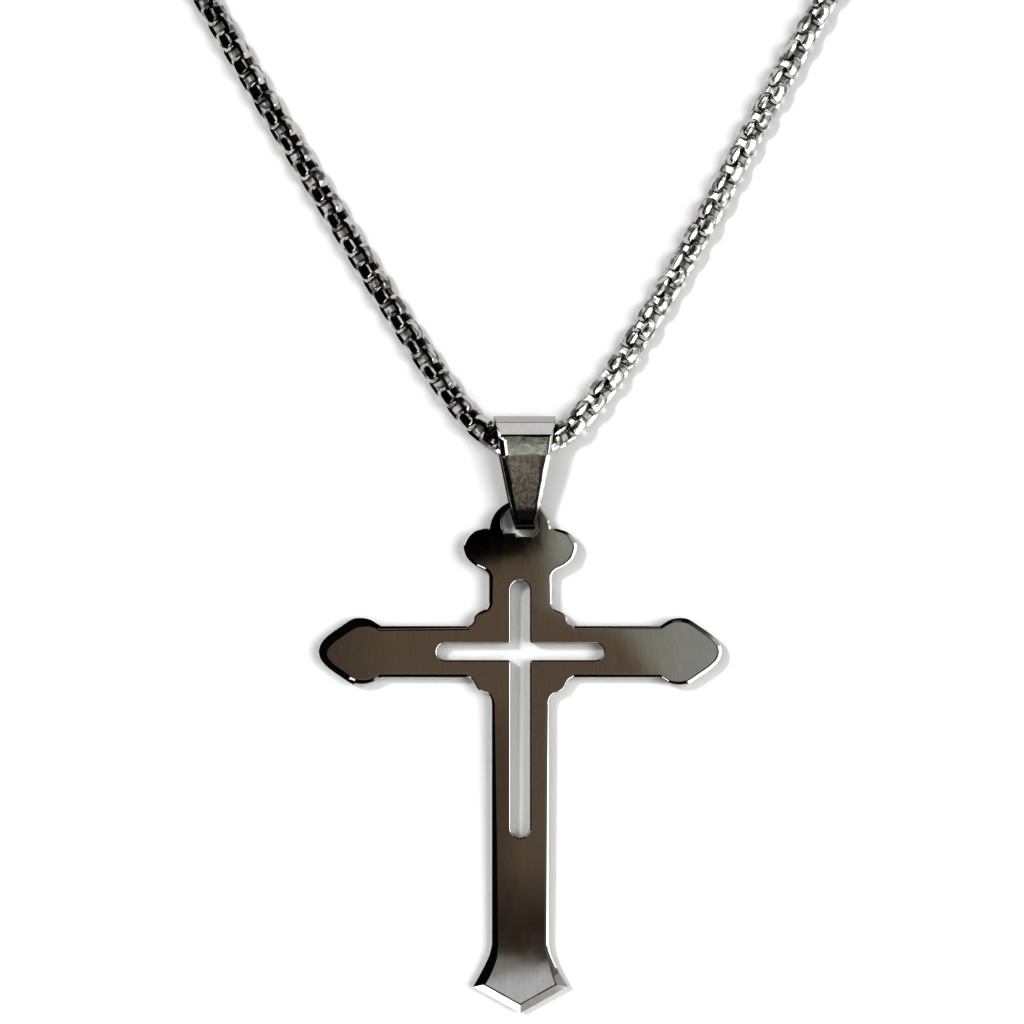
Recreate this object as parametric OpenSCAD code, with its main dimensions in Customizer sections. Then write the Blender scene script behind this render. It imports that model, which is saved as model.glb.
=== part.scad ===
// Cross pendant of polished steel on a folded bail and a round box chain, lying flat.
// Millimetres. The origin is the middle of the bail's flat back, +Y runs up the upright and
// +Z away from the surface that the necklace lies on.

/* [Plate] */
// Thickness of the cross
plate_t = 1.8; // [1.2:0.1:2.6]
// Width of the bevel along the front edges
edge_bevel = 0.55; // [0.3:0.05:0.8]
// Width of the bevel round the arm tips and the foot
tip_bevel = 1.05; // [0.6:0.05:1.3]
// Height that the front bevel takes from the edge
bevel_drop = 0.5; // [0.2:0.05:0.8]
// Small bevel along the back edges
back_bevel = 0.15; // [0.05:0.05:0.3]

/* [Crossbar] */
// Length from arm tip to arm tip
cross_span = 50.4; // [44:0.2:58]
// Width of the straight arms
arm_w = 6.4; // [5:0.1:7]
// Length of a spread arm tip
arm_tip_l = 7.8; // [6:0.1:10]
// Width of a spread arm tip
arm_tip_w = 8.4; // [7.6:0.1:10]
// Distance of the crossbar's middle below the crossing that the upright is measured from
bar_drop = 0.2; // [0:0.05:0.4]

/* [Upright] */
// Height from the crossing to the shoulders of the head
head_rise = 15.2; // [13.6:0.1:18]
// Length from the crossing to the point of the foot
foot_drop = 45.5; // [40:0.1:54]
// Width of the lobed head
lobe_w = 14.2; // [12:0.1:17]
// Height of the lobed head
lobe_l = 6.0; // [5:0.1:7]
// Width of the neck between head and crossbar
neck_w = 7.8; // [6.6:0.1:9]
// Width of the stepped collar where it meets the crossbar
collar_w = 13.4; // [12:0.1:16]
// Height of the collar's step above the crossbar
collar_up = 2.9; // [2:0.1:4]
// Height of the collar's step below the crossbar
collar_down = 3.3; // [2.4:0.1:4.6]
// Width of the shaft below the crossbar
shaft_w = 7.1; // [6:0.1:8.6]
// Width of the spread foot
foot_w = 11.9; // [10:0.1:15]
// Length of the flare above the foot's corners
flare_l = 5.4; // [4:0.1:7]
// Length of the pointed end below the foot's corners
point_l = 3.3; // [2.4:0.1:5]

/* [Slot] */
// Width of the upright slot
slot_w = 2.4; // [2:0.1:3.2]
// Width of the crosswise slot
slot_cross_w = 2.1; // [1.8:0.05:3]
// Height of the slot above the crossing
slot_up = 8.7; // [7:0.1:10]
// Length of the slot below the crossing
slot_down = 23.4; // [18:0.1:30]
// Length of the crosswise slot
slot_span = 20.8; // [16:0.1:30]
// Radius of the slot's inner corners
slot_fillet = 0.35; // [0.1:0.05:0.6]

/* [Ear] */
// Outer diameter of the ear
ear_d = 7.6; // [6.8:0.1:9]
// Height of the ear's centre above the crossing
ear_rise = 14.9; // [14:0.1:16.5]
// Width of the bevel round the ear
ear_bevel = 0.25; // [0.1:0.05:0.4]
// Diameter of the hole in the ear
hole_d = 4.6; // [4:0.1:5]
// Height of the hole's centre above the crossing
hole_rise = 15.9; // [15.5:0.1:16.5]
// Height of the flat left in the bottom of the hole
hole_flat = 0.55; // [0.2:0.05:0.8]
// Height of the nick's step above that flat
nick_h = 0.45; // [0.2:0.05:0.6]

/* [Bail] */
// Length of the bail
bail_l = 14.2; // [13:0.1:17]
// Width of the bail at its top fold
bail_top_w = 7.8; // [6:0.1:10]
// Width of the bail at its bottom fold
bail_foot_w = 2.2; // [1.6:0.1:2.8]
// Thickness of the bail's strip
bail_wall = 0.6; // [0.4:0.05:0.65]
// Height of the rolled top fold
bail_top_t = 5.2; // [5:0.1:7]
// Distance from the top fold to the knee of the front
knee_l = 5.0; // [4:0.1:6]
// Slope of the front above the knee, in degrees
knee_slope = 2; // [0:0.5:5]
// Width of the bevel at the knee
bail_bevel = 0.7; // [0.3:0.05:0.9]
// Height that this bevel takes from the strip
bail_drop = 0.4; // [0.2:0.05:0.5]
// Lean of the bail's sides to the left towards its back, in degrees
bail_lean = 3.5; // [0:0.5:5]
// Free play of the ear along the bail
hang_play = 2.6; // [2:0.1:3.2]
// Space between the ear and the bail's strip
ear_clear = 0.25; // [0.15:0.05:0.4]
// Distance of the cross to the left of the bail's middle
cross_shift = 0.65; // [0:0.05:0.7]

/* [Chain] */
// Diameter of the chain
chain_d = 3.0; // [2.4:0.1:3.1]

/* [Clasp] */
// Length of the clasp's barrel
clasp_l = 9; // [6:0.5:12]
// Diameter of the clasp's barrel
clasp_d = 4; // [3:0.1:6]
// Bevel round the barrel's ends
clasp_bevel = 0.5; // [0.2:0.1:0.8]
// Thickness of the eye tabs
tab_t = 1.2; // [0.8:0.1:1.6]
// Diameter of the eye tabs
tab_d = 3; // [2.6:0.1:4]
// Diameter of the eyes
eye_d = 1.6; // [1.2:0.1:1.8]
// Space between an eye tab and the end of the chain
clasp_clear = 0.2; // [0.1:0.05:0.3]

/* [Hidden] */
round_fn = 72;
eps = 0.5;

// Spread arm tip, its bump: [share of the tip's length from its root,
// share of the spread beyond the arm, bevel as a share of the tip's bevel]
TIP_BUMP = [
    [0.00, 0.00, 0.55],
    [0.07, 0.34, 0.60],
    [0.17, 0.80, 0.75],
    [0.29, 1.00, 0.90],
    [0.41, 0.97, 1.00],
];
// The same tip, its nose: [share of the length, share of the tip's half width, bevel share]
TIP_NOSE = [
    [0.50, 0.93, 1.00],
    [0.66, 0.73, 1.00],
    [0.83, 0.51, 1.00],
    [0.93, 0.33, 1.00],
    [0.98, 0.17, 1.00],
    [1.00, 0.00, 1.00],
];
// Lobed head: [share of its height from the shoulders, share of the spread beyond the neck,
// bevel as a share of the edge bevel]
LOBE = [
    [0.00, 0.05, 0.30],
    [0.02, 0.31, 0.50],
    [0.07, 0.60, 0.70],
    [0.16, 0.81, 0.90],
    [0.28, 0.95, 1.00],
    [0.39, 1.00, 1.00],
    [0.52, 0.94, 1.00],
    [0.65, 0.81, 0.80],
    [0.78, 0.52, 0.60],
    [0.85, 0.24, 0.60],
    [0.92, 0.06, 0.60],
    [1.00, 0.00, 0.70],
];
// Collar above the crossbar: [share of its height, share of its spread, bevel share]
COLLAR_TOP = [
    [0.00, 0.00, 0.70],
    [0.12, 0.04, 0.60],
    [0.24, 0.12, 0.50],
    [0.33, 0.30, 0.45],
    [0.43, 0.52, 0.40],
    [0.56, 0.67, 0.40],
    [0.74, 0.70, 0.45],
    [0.89, 0.80, 0.50],
    [1.02, 1.02, 0.50],
];
// Collar below the crossbar: the same columns
COLLAR_FOOT = [
    [-0.02, 1.02, 0.50],
    [0.08, 0.81, 0.50],
    [0.21, 0.71, 0.40],
    [0.39, 0.62, 0.40],
    [0.53, 0.46, 0.40],
    [0.63, 0.20, 0.50],
    [0.77, 0.06, 0.60],
    [1.00, 0.00, 0.80],
];
// Flare of the foot: [share of its length, share of its spread, bevel share between the
// edge bevel at 0 and the tip bevel at 1]
FLARE = [
    [0.00, 0.00, 0.00],
    [0.24, 0.12, 0.20],
    [0.50, 0.38, 0.60],
    [0.76, 0.69, 1.00],
    [1.00, 1.00, 1.00],
];
// Outline of the bail from the front: [share of its length from the top, share of the
// width beyond the bottom fold's, share of the knee's bevel]
BAIL_TAPER = [
    [0.00, 1.00, 0.25],
    [0.18, 0.82, 0.50],
    [0.35, 0.71, 1.00],
    [0.58, 0.48, 0.85],
    [0.81, 0.26, 0.55],
    [0.95, 0.08, 0.45],
    [1.00, 0.00, 0.40],
];
// Middle of the clasp, at the top of the loop
CLASP_AT = [-1.2, 234.5];
// Middle line of the chain, from the clasp round the left side, through the bail and back
CHAIN_ROUTE = [
    [-20, 232.5, 1.6], [-37.5, 226, 1.52], [-53, 215.5, 1.5], [-66, 202, 1.5],
    [-75.5, 185.5, 1.5], [-81, 167.5, 1.5], [-82, 149, 1.5], [-78.5, 130.5, 1.5],
    [-71, 113, 1.5], [-63.2, 99.5, 1.5], [-55, 85.5, 1.5], [-47, 71.5, 1.5],
    [-39.2, 58, 1.5], [-31.2, 44.5, 1.5], [-22.6, 30.4, 1.51], [-14.2, 17, 1.55],
    [-7.9, 8, 1.85], [-3.9, 4.4, 2.35], [0, 3.2, 2.45], [3.9, 4.4, 2.35],
    [7.7, 7.9, 1.85], [13.6, 16.3, 1.55], [21.8, 30.2, 1.51], [29.2, 44.2, 1.5],
    [36.8, 58, 1.5], [44.6, 71.5, 1.5], [52.6, 85.5, 1.5], [60.8, 99.5, 1.5],
    [68.6, 113, 1.5], [76.1, 130.5, 1.5], [79.6, 149, 1.5], [78.6, 167.5, 1.5],
    [73.1, 185.5, 1.5], [63.6, 202, 1.5], [50.6, 215.5, 1.5], [35.1, 226, 1.52],
    [17.6, 232.5, 1.6],
];
ROUTE_STEPS = 2;
TUBE_SIDES = 8;

// Where the cross lies: its ear's band rests over the bail's back strip, its foot on the surface
cross_y = -bail_l / 2 + bail_wall + hang_play - hole_rise - hole_d / 2;
ear_lift = bail_wall + ear_clear;
lie_angle = asin(ear_lift / (foot_drop + hole_rise + hole_d / 2));

// The bail's two folds, seen from its side as [y, z] about the middle of its back
fold_r = bail_top_t / 2;
foot_r = (plate_t + 2 * ear_clear + 2 * bail_wall) / 2;
fold_at = [bail_l / 2 - fold_r, fold_r];
foot_at = [-bail_l / 2 + foot_r, foot_r];

// The clasp lies on the surface too, and the chain's two ends stop at its eye tabs
clasp_at = [CLASP_AT[0], CLASP_AT[1], clasp_d / 2];
tab_reach = clasp_l / 2 + tab_d / 2;
chain_end = [tab_reach + tab_d / 2 + clasp_clear, 0, 0];

// Smooth curve through the rows of a table, the same columns in and out
function curve_at(a, b, c, d, t) =
    0.5 * (2 * b + (c - a) * t + (2 * a - 5 * b + 4 * c - d) * t * t
        + (3 * b - a - 3 * c + d) * t * t * t);
function curve(rows, steps) = [
    for (i = [0:len(rows) - 2], j = [0:steps - 1])
        curve_at(
            rows[max(i - 1, 0)], rows[i], rows[i + 1], rows[min(i + 2, len(rows) - 1)],
            j / steps
        ),
    rows[len(rows) - 1],
];

// Rows of a bar's half outline: [place along the bar, half width, width of its bevel]
function tip_rows() = concat(
    [for (r = TIP_BUMP) [
        cross_span / 2 - arm_tip_l + r[0] * arm_tip_l,
        arm_w / 2 + r[1] * (arm_tip_w - arm_w) / 2,
        r[2] * tip_bevel,
    ]],
    [for (r = TIP_NOSE) [
        cross_span / 2 - arm_tip_l + r[0] * arm_tip_l,
        r[1] * arm_tip_w / 2,
        r[2] * tip_bevel,
    ]]
);
function crossbar_rows() =
    let (right = curve(tip_rows(), 2), n = len(right))
    concat([for (i = [0:n - 1]) let (r = right[n - 1 - i]) [-r[0], r[1], r[2]]], right);

function spread_rows(table, from, length, narrow, wide, bevel) = curve(
    [for (r = table) [
        from + r[0] * length,
        (narrow + r[1] * (wide - narrow)) / 2,
        r[2] * bevel,
    ]],
    2
);
// The flare's last side runs straight to the corner: a row between would lie closer to it
// than the mitre of the two wide bevels reaches, and the front face would fold back there
function flare_rows() =
    let (
        rows = curve(
            [for (r = FLARE) [
                foot_drop - point_l - flare_l + r[0] * flare_l,
                (shaft_w + r[1] * (foot_w - shaft_w)) / 2,
                edge_bevel + r[2] * (tip_bevel - edge_bevel),
            ]],
            2
        ),
        n = len(rows)
    )
    [for (i = [0:n - 1]) if (i != n - 2) rows[i]];
function upright_rows() = concat(
    [[-head_rise - eps, 0, edge_bevel / 2]],
    spread_rows(LOBE, -head_rise, lobe_l, neck_w, lobe_w, edge_bevel),
    spread_rows(
        COLLAR_TOP, bar_drop - arm_w / 2 - collar_up, collar_up, neck_w, collar_w, edge_bevel
    ),
    spread_rows(COLLAR_FOOT, bar_drop + arm_w / 2, collar_down, shaft_w, collar_w, edge_bevel),
    flare_rows(),
    [[foot_drop, 0, tip_bevel]]
);

// Closed outline of a bar from its rows, up one side and down the other
function outline(rows) = concat(
    rows,
    [for (i = [len(rows) - 2:-1:1]) [rows[i][0], -rows[i][1], rows[i][2]]]
);
function edge_normal(a, b) = let (d = b - a) [-d[1], d[0]] / norm(d);
function flat(p) = [p[0], p[1]];
// The outline's points moved inwards by each point's own bevel
function inset(loop) = [
    for (i = [0:len(loop) - 1])
        let (
            p = flat(loop[i]),
            a = edge_normal(flat(loop[(i + len(loop) - 1) % len(loop)]), p),
            b = edge_normal(p, flat(loop[(i + 1) % len(loop)]))
        )
        p - loop[i][2] * (a + b) / (1 + a * b)
];
function layer(loop, z) = [for (p = loop) [p[0], p[1], z]];

// A flat bar along X with its own half outline and bevelled edges, front up
module bevelled_bar(rows) {
    loop = outline(rows);
    back = [for (p = loop) [p[0], p[1], back_bevel]];
    n = len(loop);
    last = len(rows) - 1;
    points = concat(
        layer(inset(back), 0), layer(loop, back_bevel),
        layer(loop, plate_t - bevel_drop), layer(inset(loop), plate_t)
    );
    front = 3 * n;
    polyhedron(points, concat(
        [for (k = [0:2], i = [0:n - 1])
            let (j = (i + 1) % n) [k * n + i, k * n + j, (k + 1) * n + j]],
        [for (k = [0:2], i = [0:n - 1])
            let (j = (i + 1) % n) [k * n + i, (k + 1) * n + j, (k + 1) * n + i]],
        [[1, 0, n - 1], [front, front + 1, front + n - 1]],
        [[last, last - 1, last + 1], [front + last - 1, front + last, front + last + 1]],
        [for (i = [1:last - 2]) [i + 1, i, n - i]],
        [for (i = [1:last - 2]) [i + 1, n - i, n - i - 1]],
        [for (i = [1:last - 2]) [front + i, front + i + 1, front + n - i]],
        [for (i = [1:last - 2]) [front + i + 1, front + n - i - 1, front + n - i]]
    ), convexity = 6);
}

module ear() {
    translate([0, ear_rise, 0]) {
        cylinder(d = ear_d, h = plate_t - ear_bevel, $fn = round_fn);
        translate([0, 0, plate_t - ear_bevel])
            cylinder(d1 = ear_d, d2 = ear_d - 2 * ear_bevel, h = ear_bevel, $fn = round_fn);
    }
}

module rounded_slot(from, to, width) {
    translate([from, -width / 2]) square([to - from, width]);
    for (x = [from, to]) translate([x, 0]) circle(d = width, $fn = round_fn);
}

module slot_corner() {
    difference() {
        translate([-eps, -eps]) square(slot_fillet + eps);
        translate([slot_fillet, slot_fillet]) circle(slot_fillet, $fn = round_fn);
    }
}

module slot_outline() {
    rotate(90) rounded_slot(slot_w / 2 - slot_down, slot_up - slot_w / 2, slot_w);
    end = (slot_span - slot_cross_w) / 2;
    translate([0, -bar_drop]) {
        rounded_slot(-end, end, slot_cross_w);
        for (x = [0, 1], y = [0, 1])
            mirror([x, 0]) mirror([0, y])
                translate([slot_w / 2, slot_cross_w / 2]) slot_corner();
    }
}

module hole_outline() {
    flat_y = -hole_d / 2 + hole_flat;
    difference() {
        circle(d = hole_d, $fn = round_fn);
        translate([-hole_d / 2, -hole_d / 2 - eps]) square([hole_d, hole_flat + eps]);
        polygon([
            [-hole_d, flat_y - eps], [-0.03 * hole_d, flat_y - eps],
            [-0.07 * hole_d, flat_y], [-0.13 * hole_d, flat_y + nick_h],
            [-hole_d, flat_y + nick_h],
        ]);
    }
}

module cross_plate() {
    difference() {
        union() {
            translate([0, -bar_drop, 0]) bevelled_bar(crossbar_rows());
            rotate([0, 0, -90]) bevelled_bar(upright_rows());
            ear();
        }
        translate([0, 0, -eps]) linear_extrude(plate_t + 2 * eps) slot_outline();
        translate([0, hole_rise, -eps]) linear_extrude(plate_t + 2 * eps) hole_outline();
    }
}

module cross() {
    color("dimgray")
        translate([-cross_shift, cross_y - foot_drop, 0]) rotate([lie_angle, 0, 0])
            translate([0, foot_drop, 0]) cross_plate();
}

// Side view of the bail as [y, z]: round top fold, short shoulder, knee, sloping front and
// round bottom fold, all moved inwards by the given distance
function arc(centre, r, from, to, steps) = [
    for (i = [0:steps]) let (a = from + (to - from) * i / steps)
        centre + r * [cos(a), sin(a)]
];
function fold_normal(slope) = [-sin(slope), cos(slope)];
knee_at =
    let (start = fold_at + fold_r * fold_normal(knee_slope),
        y = bail_l / 2 - knee_l)
    [y, start[1] - (start[0] - y) * tan(knee_slope)];
knee_from_foot = knee_at - foot_at;
front_slope = atan2(knee_from_foot[1], knee_from_foot[0]) - asin(foot_r / norm(knee_from_foot));
function bail_profile(inward) =
    let (a = fold_normal(knee_slope), b = fold_normal(front_slope))
    concat(
        arc(fold_at, fold_r - inward, -90, 90 + knee_slope, 24),
        [knee_at - inward * (a + b) / (1 + a * b)],
        arc(foot_at, foot_r - inward, 90 + front_slope, 270, 24)
    );

// Sections of the bevelled front: a house shape whose roof planes cut the strip's edges
function taper_section(row) =
    let (
        y = bail_l / 2 - row[0] * bail_l,
        half = (bail_foot_w + row[1] * (bail_top_w - bail_foot_w)) / 2,
        bevel = row[2] * bail_bevel,
        front = y > knee_at[0]
            ? knee_at[1] + (y - knee_at[0]) * tan(knee_slope)
            : knee_at[1] + (y - knee_at[0]) * tan(front_slope),
        eaves = front - bail_drop,
        lean = (eaves + eps) * tan(bail_lean),
        grow = row[0] == 0 || row[0] == 1 ? eps * (1 - 2 * row[0]) : 0
    )
    [
        [half - lean, y + grow, -eps], [half, y + grow, eaves],
        [0, y + grow, eaves + half * bail_drop / bevel],
        [-half, y + grow, eaves], [-half - lean, y + grow, -eps],
    ];

module bail_taper() {
    sections = [for (row = BAIL_TAPER) taper_section(row)];
    n = len(sections);
    m = 5;
    polyhedron([for (s = sections) each s], concat(
        [[0, 1, 2, 3, 4]],
        [[for (i = [m - 1:-1:0]) (n - 1) * m + i]],
        [for (k = [0:n - 2], i = [0:m - 1])
            let (j = (i + 1) % m) [k * m + j, k * m + i, (k + 1) * m + i]],
        [for (k = [0:n - 2], i = [0:m - 1])
            let (j = (i + 1) % m) [k * m + j, (k + 1) * m + i, (k + 1) * m + j]]
    ), convexity = 2);
}

module bail() {
    color("darkgray") intersection() {
        difference() {
            bail_strip(0, 2 * bail_top_w);
            bail_strip(bail_wall, 2 * bail_top_w + 2 * eps);
        }
        bail_taper();
    }
}

module bail_strip(inward, width) {
    translate([-width / 2, 0, 0]) rotate([90, 0, 90])
        linear_extrude(width) polygon(bail_profile(inward));
}

// The chain as a plain round tube along its route
function tube_ring(points, i) =
    let (
        ahead = points[min(i + 1, len(points) - 1)] - points[max(i - 1, 0)],
        side = [ahead[1], -ahead[0], 0] / norm([ahead[0], ahead[1]]),
        up = cross(side, ahead) / norm(ahead)
    )
    [for (k = [0:TUBE_SIDES - 1]) let (a = 360 * k / TUBE_SIDES)
        points[i] + chain_d / 2 * (cos(a) * side + sin(a) * up)];

module chain() {
    points = curve(
        concat([clasp_at - chain_end], CHAIN_ROUTE, [clasp_at + chain_end]), ROUTE_STEPS
    );
    n = len(points);
    m = TUBE_SIDES;
    color("silver") polyhedron(
        [for (i = [0:n - 1]) each tube_ring(points, i)],
        concat(
            [[for (k = [m - 1:-1:0]) k]],
            [[for (k = [0:m - 1]) (n - 1) * m + k]],
            [for (i = [0:n - 2], k = [0:m - 1])
                let (j = (k + 1) % m) [i * m + k, i * m + j, (i + 1) * m + k]],
            [for (i = [0:n - 2], k = [0:m - 1])
                let (j = (k + 1) % m) [i * m + j, (i + 1) * m + j, (i + 1) * m + k]]
        ),
        convexity = 6
    );
}

module clasp() {
    color("gray") translate(clasp_at) difference() {
        union() {
            rotate([0, 90, 0]) {
                cylinder(d = clasp_d, h = clasp_l - 2 * clasp_bevel, center = true, $fn = round_fn);
                for (side = [0, 1]) mirror([0, 0, side])
                    translate([0, 0, clasp_l / 2 - clasp_bevel])
                        cylinder(
                            d1 = clasp_d, d2 = clasp_d - 2 * clasp_bevel, h = clasp_bevel,
                            $fn = round_fn
                        );
            }
            translate([-tab_reach, -tab_d / 2, -tab_t / 2]) cube([2 * tab_reach, tab_d, tab_t]);
            for (x = [-tab_reach, tab_reach]) translate([x, 0, 0])
                cylinder(d = tab_d, h = tab_t, center = true, $fn = round_fn);
        }
        for (x = [-tab_reach, tab_reach]) translate([x, 0, 0])
            cylinder(d = eye_d, h = tab_t + 2 * eps, center = true, $fn = round_fn);
    }
}

cross();
bail();
chain();
clasp();
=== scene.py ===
import math

import bmesh
import bpy
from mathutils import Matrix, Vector


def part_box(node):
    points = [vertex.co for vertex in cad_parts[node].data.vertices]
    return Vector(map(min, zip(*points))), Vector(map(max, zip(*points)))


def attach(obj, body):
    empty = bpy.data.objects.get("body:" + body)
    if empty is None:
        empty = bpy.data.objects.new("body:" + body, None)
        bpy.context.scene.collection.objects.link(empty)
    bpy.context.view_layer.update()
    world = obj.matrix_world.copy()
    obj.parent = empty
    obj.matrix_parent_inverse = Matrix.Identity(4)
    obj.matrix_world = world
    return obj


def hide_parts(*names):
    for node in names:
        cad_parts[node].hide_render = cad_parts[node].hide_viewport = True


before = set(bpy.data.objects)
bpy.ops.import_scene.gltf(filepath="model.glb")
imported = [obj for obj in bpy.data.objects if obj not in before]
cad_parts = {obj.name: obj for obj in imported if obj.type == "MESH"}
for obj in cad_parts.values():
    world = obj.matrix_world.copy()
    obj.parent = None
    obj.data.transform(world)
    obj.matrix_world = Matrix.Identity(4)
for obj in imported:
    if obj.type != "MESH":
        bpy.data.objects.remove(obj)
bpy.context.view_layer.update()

bl_info = {
    "name": "Cross pendant necklace",
    "version": (1, 0, 0),
    "blender": (4, 5, 0),
    "location": "3D View > Sidebar > Pendant",
    "description": "Builds the polished cross, its bail, the chain and the studio they lie in",
    "category": "Object",
}

MM = 0.001

# Middle line of the chain in millimetres, from the clasp round the left side, through the
# bail and back: the same points as the tube that the links replace.
CHAIN_ROUTE = [
    (-20, 232.5, 1.6), (-37.5, 226, 1.52), (-53, 215.5, 1.5), (-66, 202, 1.5),
    (-75.5, 185.5, 1.5), (-81, 167.5, 1.5), (-82, 149, 1.5), (-78.5, 130.5, 1.5),
    (-71, 113, 1.5), (-63.2, 99.5, 1.5), (-55, 85.5, 1.5), (-47, 71.5, 1.5),
    (-39.2, 58, 1.5), (-31.2, 44.5, 1.5), (-22.6, 30.4, 1.51), (-14.2, 17, 1.55),
    (-7.9, 8, 1.85), (-3.9, 4.4, 2.35), (0, 3.2, 2.45), (3.9, 4.4, 2.35),
    (7.7, 7.9, 1.85), (13.6, 16.3, 1.55), (21.8, 30.2, 1.51), (29.2, 44.2, 1.5),
    (36.8, 58, 1.5), (44.6, 71.5, 1.5), (52.6, 85.5, 1.5), (60.8, 99.5, 1.5),
    (68.6, 113, 1.5), (76.1, 130.5, 1.5), (79.6, 149, 1.5), (78.6, 167.5, 1.5),
    (73.1, 185.5, 1.5), (63.6, 202, 1.5), (50.6, 215.5, 1.5), (35.1, 226, 1.52),
    (17.6, 232.5, 1.6),
]
# Middle of the clasp, and how far from it the chain ends on each side, in millimetres
CLASP_MIDDLE = (-1.2, 234.5, 2.0)
CHAIN_END_REACH = 7.7

UP = Vector((0, 0, 1))
# The plate's front faces this way, as the cross slopes by 0.8 degrees from its ear to its foot
FRONT = Vector((0, -0.0134, 1)).normalized()
# Least cosine between the normals of two faces that count as parallel
PARALLEL = 0.9995
# Points nearer to each other than this are one, in metres
WELD = 2e-6
# The ear reaches about this far down from the cross's top
EAR = 3.6 * MM
# Gamma of the view: below 1 it draws the darks down
CONTRAST = 0.7
# The picture shows this share of the colours that are given to shown()
SHADE = 0.6
# Width of the camera's film in millimetres
FILM = 36
# Height of the cross's front at its foot, where the view has its stated width
FRONT_HEIGHT = 1.8 * MM


class CrossSizes(bpy.types.PropertyGroup):
    rim_round: bpy.props.FloatProperty(
        name="Rim rounding", description="Width of the rounding along the front bevel",
        default=0.12 * MM, unit="LENGTH",
    )
    slot_round: bpy.props.FloatProperty(
        name="Slot chamfer", description="Width of the chamfer on the slot's and hole's edges",
        default=0.17 * MM, unit="LENGTH",
    )
    narrow: bpy.props.FloatProperty(
        name="Narrowing", description="Share of the bevel's width polished away on shaft and arms",
        default=0.42, subtype="FACTOR", min=0, max=0.8,
    )
    slope: bpy.props.FloatProperty(
        name="Steepest bevel", description="Slope that no part of the polished bevel exceeds",
        default=math.radians(32), subtype="ANGLE",
    )
    wall_round: bpy.props.FloatProperty(
        name="Wall rounding", description="Width of the rounding between bevel and side wall",
        default=0.05 * MM, unit="LENGTH",
    )


class BailSizes(bpy.types.PropertyGroup):
    edge_round: bpy.props.FloatProperty(
        name="Edge rounding", description="Width of the rounding along the strip's edges",
        default=0.05 * MM, unit="LENGTH",
    )
    fold: bpy.props.FloatProperty(
        name="Top fold", description="Radius of the fold at the top",
        default=2.6 * MM, unit="LENGTH",
    )
    fold_break: bpy.props.FloatProperty(
        name="Fold break", description="Where the fold's two flat sides meet, from the horizontal",
        default=math.radians(44), subtype="ANGLE",
    )
    side_bevel: bpy.props.FloatProperty(
        name="Side bevel", description="Width of the bevel along the fold's sides",
        default=0.3 * MM, unit="LENGTH",
    )
    knee: bpy.props.FloatProperty(
        name="Knee", description="Distance from the top of the bail to its knee",
        default=5.0 * MM, unit="LENGTH",
    )
    knee_drop: bpy.props.FloatProperty(
        name="Knee drop", description="How far the knee is pressed in",
        default=0.19 * MM, unit="LENGTH",
    )
    side_round: bpy.props.FloatProperty(
        name="Side rounding", description="Width of the rounding beside the front panel",
        default=0.26 * MM, unit="LENGTH",
    )


class ChainSizes(bpy.types.PropertyGroup):
    pitch: bpy.props.FloatProperty(
        name="Pitch", description="Distance from one link to the next",
        default=1.87 * MM, unit="LENGTH",
    )
    diameter: bpy.props.FloatProperty(
        name="Diameter", description="Diameter of the round chain",
        default=3.0 * MM, unit="LENGTH",
    )
    link_length: bpy.props.FloatProperty(
        name="Link length", description="Outer length of one link",
        default=2.9 * MM, unit="LENGTH",
    )
    link_width: bpy.props.FloatProperty(
        name="Link width", description="Width of the strip that a link is folded from",
        default=1.5 * MM, unit="LENGTH",
    )
    bar: bpy.props.FloatProperty(
        name="Bar", description="Thickness of a link's end bars",
        default=0.5 * MM, unit="LENGTH",
    )
    corner: bpy.props.FloatProperty(
        name="Corner", description="Rounding of a link's ends",
        default=0.8 * MM, unit="LENGTH",
    )
    ring: bpy.props.FloatProperty(
        name="Jump ring", description="Outer diameter of the rings beside the clasp",
        default=3.2 * MM, unit="LENGTH",
    )
    ring_wire: bpy.props.FloatProperty(
        name="Ring wire", description="Thickness of the jump rings' wire",
        default=0.5 * MM, unit="LENGTH",
    )
    roll: bpy.props.FloatProperty(
        name="Roll", description="Turn of the links about the chain's middle line",
        default=math.radians(53), subtype="ANGLE",
    )


class SteelLook(bpy.types.PropertyGroup):
    colour: bpy.props.FloatVectorProperty(
        name="Steel", description="Colour of the polished steel",
        default=(0.56, 0.55, 0.53), size=3, subtype="COLOR", min=0, max=1,
    )
    polish: bpy.props.FloatProperty(
        name="Polish", description="Roughness of the cross's polished front",
        default=0.03, subtype="FACTOR", min=0, max=1,
    )


class StudioSizes(bpy.types.PropertyGroup):
    distance: bpy.props.FloatProperty(
        name="Camera height", description="Height of the camera above the surface",
        default=0.4, unit="LENGTH",
    )
    view_width: bpy.props.FloatProperty(
        name="View width", description="Width of the view at the front of the cross's foot",
        default=0.128, unit="LENGTH",
    )
    axis_x: bpy.props.FloatProperty(
        name="Axis X", description="Where the camera's axis meets the surface, across",
        default=-1.6875 * MM, unit="LENGTH",
    )
    axis_y: bpy.props.FloatProperty(
        name="Axis Y", description="Where the camera's axis meets the surface, along",
        default=-4.875 * MM, unit="LENGTH",
    )
    lamp: bpy.props.FloatProperty(
        name="Lamp", description="Strength of the lamp from the upper left", default=1.22,
    )
    lamp_height: bpy.props.FloatProperty(
        name="Lamp height", description="Height of that lamp above the horizon",
        default=math.radians(55), subtype="ANGLE",
    )
    fill: bpy.props.FloatProperty(
        name="Fill", description="Strength of the wide lamp from the right", default=1.8,
    )
    top_light: bpy.props.FloatProperty(
        name="Top light", description="Strength of the wide lamp overhead", default=0.92,
    )
    top_tilt: bpy.props.FloatProperty(
        name="Top tilt", description="Angle of that lamp from straight above, to the left",
        default=math.radians(27), subtype="ANGLE",
    )


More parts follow.
